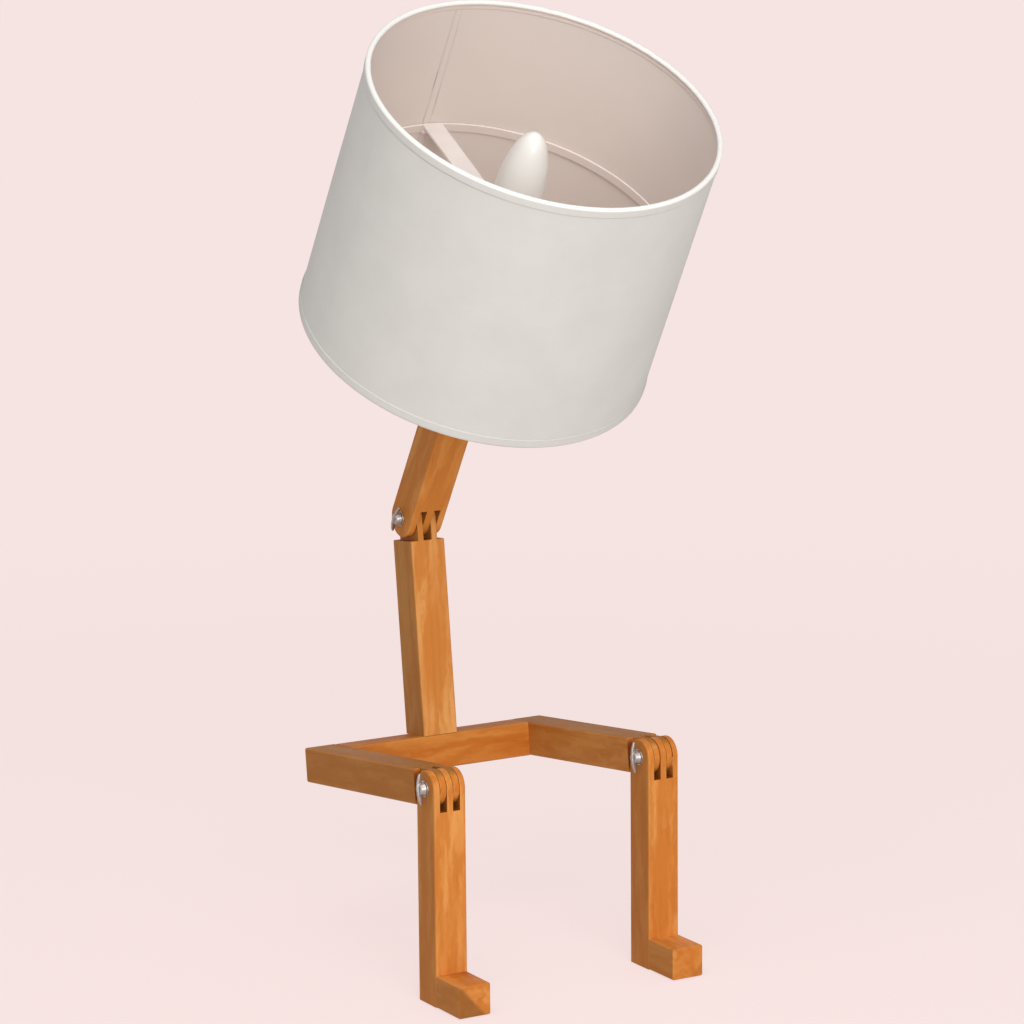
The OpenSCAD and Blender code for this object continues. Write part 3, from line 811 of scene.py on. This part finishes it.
class FIGURELAMP_OT_bolts(bpy.types.Operator):
    """Make the three pivot bolts and finish their washers"""

    bl_idname = "figure_lamp.bolts"
    bl_label = "Bolts and Washers"

    def execute(self, context):
        fittings = context.scene.figure_lamp_fittings
        steel = metal_material("Zinc plate", fittings.zinc, 0.34)
        for hinge in HINGES:
            place, _ = hinge_place(hinge)
            bolt = placed(bolt_mesh(bolt_sizes(hinge), fittings.bolt_pitch), place)
            finish_piece(bolt, "bolt_" + hinge, hinge + "_bolt", [steel])
            washer = softened(hinge + "_washer", 0.15 * MM)
            finish_piece(washer, "washer_" + hinge, hinge + "_washer", [steel],
                         weighted=True)
        return {"FINISHED"}


def wing_blade(reach, high):
    """Bowed blade with round ends, whose wings reach out from the axis and up to high."""
    deep = 3.0 * MM
    bow = 1.6 * MM
    half_thick = 0.8 * MM
    lobe = (deep - bow) / 2
    tip = reach - lobe
    bow_radius = (tip ** 2 + bow ** 2) / (2 * bow)
    bow_turn = math.degrees(math.asin(tip / bow_radius))
    outline = arc((tip, high - deep + lobe), lobe, -90, 90, 10)
    outline += arc((0, high - bow_radius), bow_radius, 90 - bow_turn, 90 + bow_turn, 24)[1:-1]
    outline += arc((-tip, high - deep + lobe), lobe, 90, 270, 10)
    blade = bmesh.new()
    face = blade.faces.new([blade.verts.new((x, -half_thick, z)) for x, z in outline])
    made = bmesh.ops.extrude_face_region(blade, geom=[face])["geom"]
    moved = [g for g in made if isinstance(g, bmesh.types.BMVert)]
    bmesh.ops.translate(blade, vec=(0, 2 * half_thick, 0), verts=moved)
    bmesh.ops.recalc_face_normals(blade, faces=blade.faces)
    rims = [e for e in blade.edges if e.calc_face_angle() > math.radians(60)]
    bevelled(blade, rims, 0.5 * MM, 3)
    return blade


def wing_nut_mesh(reach, low, high, bore):
    """Cast wing nut: a bowed blade across a hub with a blind bore."""
    hub_top = low + 0.773 * (high - low)
    bore_top = low + 0.636 * (high - low)
    foot, neck = 4.2 * MM, 3.15 * MM  # radii of the hub
    edge = 0.3 * MM
    profile = [(0, bore_top), (bore, bore_top), (bore, low + 0.2 * MM), (bore + edge, low),
               (foot - edge, low), (foot, low + edge), (neck, hub_top - 0.5 * MM),
               (neck - 0.4 * MM, hub_top - 0.1 * MM), (neck - 0.85 * MM, hub_top), (0, hub_top)]
    return joined(lathe(profile, 32, closed=False), wing_blade(reach, high))


class FIGURELAMP_OT_wing_nuts(bpy.types.Operator):
    """Make the three cast wing nuts"""

    bl_idname = "figure_lamp.wing_nuts"
    bl_label = "Wing Nuts"

    def execute(self, context):
        fittings = context.scene.figure_lamp_fittings
        # darker and warmer than plated zinc: a duller cast finish, with painted shade and a painted reflection of
        # the wood
        dull_shaded_zinc = tuple(share * c for share, c in zip((0.65, 0.63, 0.59), fittings.zinc))
        steel = metal_material("Cast zinc", dull_shaded_zinc, 0.42, relief=0.05, grain=1.1)
        for hinge in HINGES:
            place, reach = hinge_place(hinge)
            node = hinge + "_nut"
            low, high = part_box(node)
            pivot = pivot_of(HINGES[hinge])
            bore = bolt_sizes(hinge)["shank"] + NUT_BORE_ROOM
            bm = wing_nut_mesh(reach, pivot.x - high.x, pivot.x - low.x, bore)
            piece = finish_piece(placed(bm, place), "wing_nut_" + hinge, node, [steel],
                                 sharp=180)
            whole = piece.modifiers.new("One casting", "REMESH")
            whole.mode = "VOXEL"
            whole.voxel_size = 0.16 * MM
            whole.use_smooth_shade = True
            rounding = piece.modifiers.new("Cast rounding", "SMOOTH")
            rounding.factor = 0.5
            rounding.iterations = 5
        return {"FINISHED"}


# ---------- lamp holder, shade rings and cable bush ----------

SOFT_EDGES = {                        # of the plastic parts without a thread
    "holder_base": 0.5 * MM, "lower_shade_ring": 0.4 * MM, "upper_shade_ring": 0.4 * MM,
    "cable_bush": 0.3 * MM,
}


class FIGURELAMP_OT_holder(bpy.types.Operator):
    """Make the lamp holder with its thread, the shade rings and the cable bush"""

    bl_idname = "figure_lamp.holder"
    bl_label = "Lamp Holder"

    def execute(self, context):
        fittings = context.scene.figure_lamp_fittings
        plastic = plastic_material("Holder plastic", fittings.plastic)
        shell = ring_sizes("holder_shell")
        low, high, outer = shell["low"], shell["high"], shell["outer_low"]
        edge = 0.3 * MM
        inner = outer - 2.2 * MM
        smooth_foot = low + 5 * MM
        profile = [(inner, low), (outer - edge, low), (outer, low + edge), (outer, smooth_foot)]
        profile += threaded(outer, 0.62 * MM, fittings.holder_pitch, smooth_foot + 0.6 * MM,
                            high - 0.8 * MM)
        profile += [(outer - edge, high), (inner + 1.2 * MM, high), (inner, high - 1 * MM)]
        finish_piece(placed(lathe(profile, 96), NECK), "holder_thread", "holder_shell", [plastic],
                     sharp=35)
        for node, width in SOFT_EDGES.items():
            finish_piece(softened(node, width, segments=3), "soft_" + node, node, [plastic],
                         weighted=True)
        steel = metal_material("Nipple steel", fittings.zinc, 0.4)
        for node in ("holder_nipple", "nipple_nut"):
            paint_node(node, steel)
        brass = metal_material("Brass", (0.80, 0.60, 0.27), 0.32)
        for node in ("centre_contact", "side_contact", "terminal_screws"):
            paint_node(node, brass)
        block = plastic_material("Contact block", (0.76, 0.72, 0.65), 0.6, 0.05)
        paint_node("contact_block", block)
        return {"FINISHED"}


# ---------- bulb ----------

GLASS_WALL = 1 * MM


def bulb_outline(rows):
    """Radii and heights of the bulb's glass from its root to its tip, from the frame."""
    points = in_neck("bulb_glass")
    low = min(z for r, z in points)
    high = max(z for r, z in points)
    widest_r, widest_z = max(points)
    root = max(r for r, z in points if z < low + 0.05 * MM)
    outline = []
    for i in range(rows + 1):
        z = low + (high - low) * math.sin(math.pi / 2 * i / rows)
        if z < widest_z:
            rise = (1 - math.cos(math.pi * (z - low) / (widest_z - low))) / 2
            radius = root + (widest_r - root) * rise
        else:
            radius = widest_r * math.sqrt(max(0, 1 - ((z - widest_z) / (high - widest_z)) ** 2))
        outline.append((radius, z))
    return outline


def bulb_mesh():
    """Hollow glass, closed at its root."""
    outside = bulb_outline(60)
    tip = outside[-1][1]
    inside = [(max(0, r - GLASS_WALL), z) for r, z in outside if z < tip - 2 * GLASS_WALL]
    inside.append((0, tip - GLASS_WALL))
    bm = lathe(outside + inside[::-1], 96, closed=False)
    bmesh.ops.holes_fill(bm, edges=[e for e in bm.edges if e.is_boundary])
    bmesh.ops.recalc_face_normals(bm, faces=bm.faces)
    return bm


def cap_mesh(pitch):
    """Screw cap with its rolled thread and its collar."""
    cap = ring_sizes("bulb_cap")
    low, high, radius, collar = cap["low"], cap["high"], cap["outer_low"], cap["outer_high"]
    wall = 0.6 * MM
    inner = radius - 2 * wall
    thread_high = high - 4.5 * MM
    profile = [(inner, low)]
    profile += threaded(radius, 0.55 * MM, pitch, low + 1 * MM, thread_high, ROLLED_GROOVE)
    profile += [(radius - wall / 2, thread_high + 1 * MM), (collar, high), (collar - wall, high),
                (inner, thread_high)]
    return lathe(profile, 72)


class FIGURELAMP_OT_bulb(bpy.types.Operator):
    """Make the frosted candle bulb with its screw cap"""

    bl_idname = "figure_lamp.bulb"
    bl_label = "Bulb"

    def execute(self, context):
        fittings = context.scene.figure_lamp_fittings
        glass = glass_material("Frosted glass", fittings.glass)
        finish_piece(placed(bulb_mesh(), NECK), "bulb_frosted_glass", "bulb_glass", [glass],
                     sharp=60)
        metal = metal_material("Cap metal", (0.78, 0.78, 0.79), 0.3)
        finish_piece(placed(cap_mesh(fittings.cap_pitch), NECK), "bulb_screw_cap", "bulb_cap",
                     [metal])
        insulator = plastic_material("Cap insulator", (0.03, 0.03, 0.035), 0.2)
        paint_node("bulb_insulator", insulator)
        solder = metal_material("Solder", (0.62, 0.62, 0.60), 0.4)
        paint_node("bulb_tip_contact", solder)
        return {"FINISHED"}


# ---------- shade ----------

BACK = math.radians(92)               # where the wall's lap lies, round the neck's axis
LAP_ROOT = 0.1 * MM                   # how far a lap's strip starts inside the wall's face


def waver(height, seed):
    """Slight sideways drift of a glued edge, in metres."""
    return 0.9 * MM * noise.noise(Vector((seed, 7.7, height * 46)))


def swell(bm):
    """Slight unevenness of the stretched wall, the same for all that is glued to it."""
    for v in bm.verts:
        around = Vector((v.co.x, v.co.y, 0)).normalized()
        v.co += around * 0.2 * MM * noise.noise(1.6 * around + Vector((0, 0, 14 * v.co.z)))


def wall_line(wall, face, rows, trim=0.0):
    """Points up the wall's outer or inner face, stopping short of its rims by trim."""
    foot, head = wall[face + "_low"], wall[face + "_high"]
    low, high = wall["low"] + trim, wall["high"] - trim
    shares = [i / rows for i in range(rows + 1)]
    return [(foot * (1 - share) + head * share, low + (high - low) * share) for share in shares]


def lap_strip(wall, face, width, proud):
    """Strip of the wall's lap on its outer or inner face, from rim to rim."""
    outwards = 1 if face == "outer" else -1
    line = wall_line(wall, face, 40, 1 * MM)
    near = [(radius - outwards * LAP_ROOT, height) for radius, height in line]
    far = [(radius + outwards * proud, height) for radius, height in line]
    middle = wall[face + "_low"]
    sweep = width / middle
    bm = lathe(near + far[::-1], 6, start=BACK - sweep / 2, sweep=sweep)
    for v in bm.verts:
        side = math.atan2(v.co.y, v.co.x) - BACK
        drift = waver(v.co.z, 3.1 if side > 0 else 8.9) / middle
        v.co = Matrix.Rotation(drift, 3, "Z") @ v.co
    swell(bm)
    return bm


class FIGURELAMP_OT_shade_wall(bpy.types.Operator):
    """Make the shade's wall of cloth on film, with its glued lap"""

    bl_idname = "figure_lamp.shade_wall"
    bl_label = "Shade Wall"

    def execute(self, context):
        shade = context.scene.figure_lamp_shade
        wall = ring_sizes("shade_drum")
        middle = (wall["outer_low"] + wall["inner_low"]) / 2
        bm = lathe(wall_line(wall, "outer", 16) + wall_line(wall, "inner", 16)[::-1], shade.steps)
        for face in bm.faces:
            centre = face.calc_center_median()
            outwards = face.normal.x * centre.x + face.normal.y * centre.y
            face.material_index = 1 if outwards < 0 else 0
        swell(bm)
        give_uv(bm, middle)
        cloth = cloth_material("Shade cloth", shade.cloth, shade.thread)
        film = film_material("Shade film", shade.film)
        piece = finish_piece(placed(bm, NECK), "shade_wall", "shade_drum", [cloth, film])
        inner_lap = 0.55 * shade.lap
        lap_film = film_material("Shade film lap", shade.film, (BACK * middle, inner_lap / 2))
        for name, face, width, proud, material in (
                ("shade_lap_outside", "outer", shade.lap, 0.16 * MM, cloth),
                ("shade_lap_inside", "inner", inner_lap, 0.12 * MM, lap_film)):
            strip = lap_strip(wall, face, width, proud)
            give_uv(strip, middle)
            finish_piece(placed(strip, NECK), name, "shade_drum", [material],
                                     extra=True)
        return {"FINISHED"}


def wire_sizes(rim):
    """Radius and height of a rim's wire, and the radius of the wire itself."""
    points = in_neck(rim + "_hoop")
    radii, heights = [r for r, z in points], [z for r, z in points]
    return ((max(radii) + min(radii)) / 2, (max(heights) + min(heights)) / 2,
            (max(heights) - min(heights)) / 2)


def hem_profile(wire, outer, inner, tape_end, up):
    """Section of the tape: rolled inwards round the wire, and down both faces of the wall."""
    radius, height, tube = wire
    centre = (radius, height)
    thick = 0.3 * MM
    clear = 0.25 * MM
    roll = tube + clear + thick
    outer_face = outer + clear + thick
    inner_face = inner - clear - thick
    # the cut end of each leg thins down to a tip, which is tucked towards the wall
    thins_at = tape_end - up * 1.1 * MM
    tuck, tip = 0.45 * MM, 0.5 * MM
    # angles round the wire at which the roll meets the inner leg's two faces
    outer_turn = -up * (360 - math.degrees(math.acos((inner_face - radius) / roll)))
    inner_turn = -up * (360 - math.degrees(
        math.acos((inner_face + thick - radius) / (roll - thick))))

    def leg(face, steps):
        return [(face, height + (tape_end - height) * i / 6) for i in steps]

    return (
        [(outer_face - tuck, tape_end), (outer_face, thins_at)] + leg(outer_face, range(5, 0, -1))
        + arc(centre, roll, 0, outer_turn, 24) + leg(inner_face, range(3, 6))
        + [(inner_face, thins_at), (inner_face + tuck, tape_end),
           (inner_face + tip, tape_end), (inner_face + thick, thins_at)]
        + arc(centre, roll - thick, inner_turn, 0, 18)
        + [(outer_face - thick, thins_at), (outer_face - tip, tape_end)])


def pucker(bm, deepest, seed):
    """Puckers of the glued tape, in coarse and fine ripples."""
    for v in bm.verts:
        turn = math.atan2(v.co.y, v.co.x)
        around = Vector((math.cos(turn), math.sin(turn), 0))
        coarse = noise.noise(around * 38 + Vector((0, 0, seed)))
        fine = noise.noise(around * 95 + Vector((0, 0, seed + v.co.z * 300)))
        v.co += around * max(-0.12 * MM, deepest * (0.7 * coarse + 0.4 * fine))
        v.co.z += 0.5 * deepest * coarse


class FIGURELAMP_OT_hems(bpy.types.Operator):
    """Make the tape hems rolled round the two rims of the shade"""

    bl_idname = "figure_lamp.hems"
    bl_label = "Hems"

    def execute(self, context):
        shade = context.scene.figure_lamp_shade
        wall = ring_sizes("shade_drum")
        steel = metal_material("Rim wire", (0.70, 0.70, 0.71), 0.4)
        for rim, end, up, seed in (("top", "high", -1, 2.0), ("bottom", "low", 1, 5.0)):
            wire = wire_sizes(rim)
            radius, height, tube = wire
            tape_heights = [z for r, z in in_neck(rim + "_hem")]
            tape_end = min(tape_heights) if up < 0 else max(tape_heights)
            profile = hem_profile(wire, wall["outer_" + end], wall["inner_" + end], tape_end, up)
            bm = lathe(profile, shade.steps * 2)
            pucker(bm, shade.pucker, seed)
            give_uv(bm, radius)
            # the top rim's roll is whitest, partly bleached tape and partly a painted highlight on its
            # top, and the tape's inner leg is as dark as the film inside it
            lining = (tuple(shade.film), abs(tape_end - height) + 2 * tube + 1 * MM)
            piping_and_highlight = (shade.piping_and_highlight, height / MM - 0.2) if rim == "top" else None
            tape = cloth_material(rim.title() + " hem tape", shade.tape, 0.8 * shade.thread,
                                  0.03, lining, piping_and_highlight)
            finish_piece(placed(bm, NECK), "hem_" + rim, rim + "_hem", [tape],
                         sharp=60)
            paint_node(rim + "_hoop", steel)
        return {"FINISHED"}


class FIGURELAMP_OT_carrier(bpy.types.Operator):
    """Finish the hoop and arms that carry the shade in white paint"""

    bl_idname = "figure_lamp.carrier"
    bl_label = "Shade Carrier"

    def execute(self, context):
        fittings = context.scene.figure_lamp_fittings
        paints = {
            # painted shade: (0.82, 0.72, 0.67) is the white paint where less light falls
            "carrier_hoop": hoop_material("Hoop paint", (0.82, 0.72, 0.67), fittings.paint),
            "shade_carrier": plastic_material("Carrier paint", fittings.paint, 0.4, 0.04),
        }
        for node, paint in paints.items():
            finish_piece(softened(node, 0.25 * MM), "soft_" + node, node, [paint],
                         weighted=True)
        return {"FINISHED"}


# ---------- stage ----------

SHADOW_SHARE = 0.3                    # of the floor's colour that the lamps have to light
FLOOR_LIGHT = 0.71                    # what the lamps and the world give the bare floor
FLOOR_DROP = 0.5 * MM                 # of the floor below the soles
SKY = (1.0, 0.985, 0.965)             # colour of the even light
BOUNCE = (0.80, 0.74, 0.72)           # colour of the light that the floor throws back
LAMP_COLOUR = (1.0, 0.99, 0.97)


def ray_share(n):
    """1 for rays from the camera, in reflections and through glass, 0 for the rest."""
    rays = n.add("LightPath").node.outputs
    share = n.math("MAXIMUM", rays["Is Camera Ray"], rays["Is Glossy Ray"])
    return n.math("MAXIMUM", share, rays["Is Transmission Ray"])


def set_world(stage):
    """World that shows the backdrop's colour and lights the object evenly."""
    world = bpy.data.worlds.new("Studio")
    n = Nodes(world, bare=True)
    shown = n.add("Background", {"Color": (*stage.backdrop, 1), "Strength": 1.0})
    even = n.add("Background", {"Color": (*SKY, 1), "Strength": stage.ambient})
    n.add("OutputWorld", {"Surface": n.add("MixShader", {0: ray_share(n), 1: even, 2: shown})})
    bpy.context.scene.world = world


def floor_material(stage, middle):
    """Pale floor: its colour is even and meets the backdrop's, and it takes shadows."""
    n = Nodes(bpy.data.materials.new("Floor"), bare=True)
    away = n.vector("DISTANCE", n.add("TexCoord", out="Object"), middle, out="Value")
    lit = n.spread(away, 0.5, 1.4, SHADOW_SHARE, 0.0)
    glow = n.math("MULTIPLY_ADD", lit, -FLOOR_LIGHT, 1.0)
    shown = n.add("AddShader", {
        0: n.add("Emission", {"Color": (*stage.backdrop, 1), "Strength": glow}),
        1: n.add("BsdfDiffuse", {"Color": n.blend(lit, (0, 0, 0), stage.backdrop)})})
    bounce = n.add("BsdfDiffuse", {"Color": (*BOUNCE, 1)})
    n.add("OutputMaterial", {
        "Surface": n.add("MixShader", {0: ray_share(n), 1: bounce, 2: shown})})
    return n.owner


def add_floor(stage, middle):
    """Round floor, far wider than the view."""
    bm = bmesh.new()
    bmesh.ops.create_circle(bm, cap_ends=True, segments=96, radius=20)
    bmesh.ops.translate(bm, vec=middle - FLOOR_DROP * UP, verts=bm.verts)
    mesh = bpy.data.meshes.new("Floor")
    bm.to_mesh(mesh)
    bm.free()
    mesh.materials.append(floor_material(stage, middle))
    floor = bpy.data.objects.new("Floor", mesh)
    bpy.context.scene.collection.objects.link(floor)


def add_lamp(name, away, aim, size, brightness):
    """Soft square lamp; brightness is that of a white card held square to it at aim."""
    lamp = bpy.data.lights.new(name, "AREA")
    away = Vector(away)
    lamp.size = size
    lamp.energy = brightness * math.pi ** 2 * away.length_squared
    lamp.color = LAMP_COLOUR
    holder = bpy.data.objects.new(name, lamp)
    holder.location = aim + away
    holder.rotation_euler = away.to_track_quat("Z", "Y").to_euler()
    holder.visible_camera = False
    bpy.context.scene.collection.objects.link(holder)


def add_camera(stage):
    """Camera at its place, turned and rolled."""
    turn, tilt, roll = stage.view_turn, stage.view_tilt, stage.view_roll
    ahead = Vector((math.sin(turn) * math.cos(tilt), math.cos(turn) * math.cos(tilt),
                    math.sin(tilt)))
    level = Vector((math.cos(turn), -math.sin(turn), 0))
    above = level.cross(ahead)
    right = math.cos(roll) * level + math.sin(roll) * above
    up = math.cos(roll) * above - math.sin(roll) * level
    camera = bpy.data.cameras.new("Camera")
    camera.lens = stage.lens
    camera.sensor_width = 36
    camera.clip_start = 0.05
    camera.clip_end = 60
    eye = bpy.data.objects.new("Camera", camera)
    turned = Matrix((right, up, -ahead)).transposed()
    eye.matrix_world = Matrix.Translation(Vector(stage.view_place)) @ turned.to_4x4()
    bpy.context.scene.collection.objects.link(eye)
    bpy.context.scene.camera = eye


class FIGURELAMP_OT_stage(bpy.types.Operator):
    """Set the floor, backdrop, lamps and camera"""

    bl_idname = "figure_lamp.stage"
    bl_label = "Stage"

    def execute(self, context):
        stage = context.scene.figure_lamp_stage
        low, high = cad_box
        aim = (low + high) / 2
        add_floor(stage, Vector((aim.x, aim.y, low.z)))
        set_world(stage)
        add_lamp("Key", (-0.60, -2.58, 0.68), aim, 1.6, stage.key)
        add_lamp("Top", (-1.0, -1.0, 2.15), aim, 1.4, stage.top)
        add_camera(stage)
        context.scene.view_settings.view_transform = "Standard"
        return {"FINISHED"}


# ---------- add-on ----------

class FIGURELAMP_PT_panel(bpy.types.Panel):
    """Sidebar panel with the sizes, colours and steps of the figure lamp"""

    bl_idname = "FIGURELAMP_PT_panel"
    bl_label = "Figure Lamp"
    bl_space_type = "VIEW_3D"
    bl_region_type = "UI"
    bl_category = "Figure Lamp"

    def draw(self, context):
        for name in SETTINGS:
            group = getattr(context.scene, name)
            box = self.layout.box()
            for key in group.bl_rna.properties.keys():
                if key not in ("rna_type", "name"):
                    box.prop(group, key)
        for operator in OPERATORS:
            self.layout.operator(operator.bl_idname)


SETTINGS = {
    "figure_lamp_wood": WoodSettings,
    "figure_lamp_shade": ShadeSettings,
    "figure_lamp_fittings": FittingSettings,
    "figure_lamp_stage": StageSettings,
}

# in the order in which they are run
OPERATORS = (
    FIGURELAMP_OT_stage,
    FIGURELAMP_OT_wooden_bars,
    FIGURELAMP_OT_dowels,
    FIGURELAMP_OT_bolts,
    FIGURELAMP_OT_wing_nuts,
    FIGURELAMP_OT_holder,
    FIGURELAMP_OT_bulb,
    FIGURELAMP_OT_carrier,
    FIGURELAMP_OT_hems,
    FIGURELAMP_OT_shade_wall,
)


def register():
    for group in SETTINGS.values():
        bpy.utils.register_class(group)
    for operator in OPERATORS:
        bpy.utils.register_class(operator)
    bpy.utils.register_class(FIGURELAMP_PT_panel)
    for name, group in SETTINGS.items():
        setattr(bpy.types.Scene, name, PointerProperty(type=group))


def unregister():
    for name in SETTINGS:
        delattr(bpy.types.Scene, name)
    bpy.utils.unregister_class(FIGURELAMP_PT_panel)
    for operator in reversed(OPERATORS):
        bpy.utils.unregister_class(operator)
    for group in reversed(list(SETTINGS.values())):
        bpy.utils.unregister_class(group)


def main():
    """Makes the whole lamp."""
    register()
    for operator in OPERATORS:
        group, name = operator.bl_idname.split(".")
        getattr(getattr(bpy.ops, group), name)()


if __name__ == "__main__":
    main()
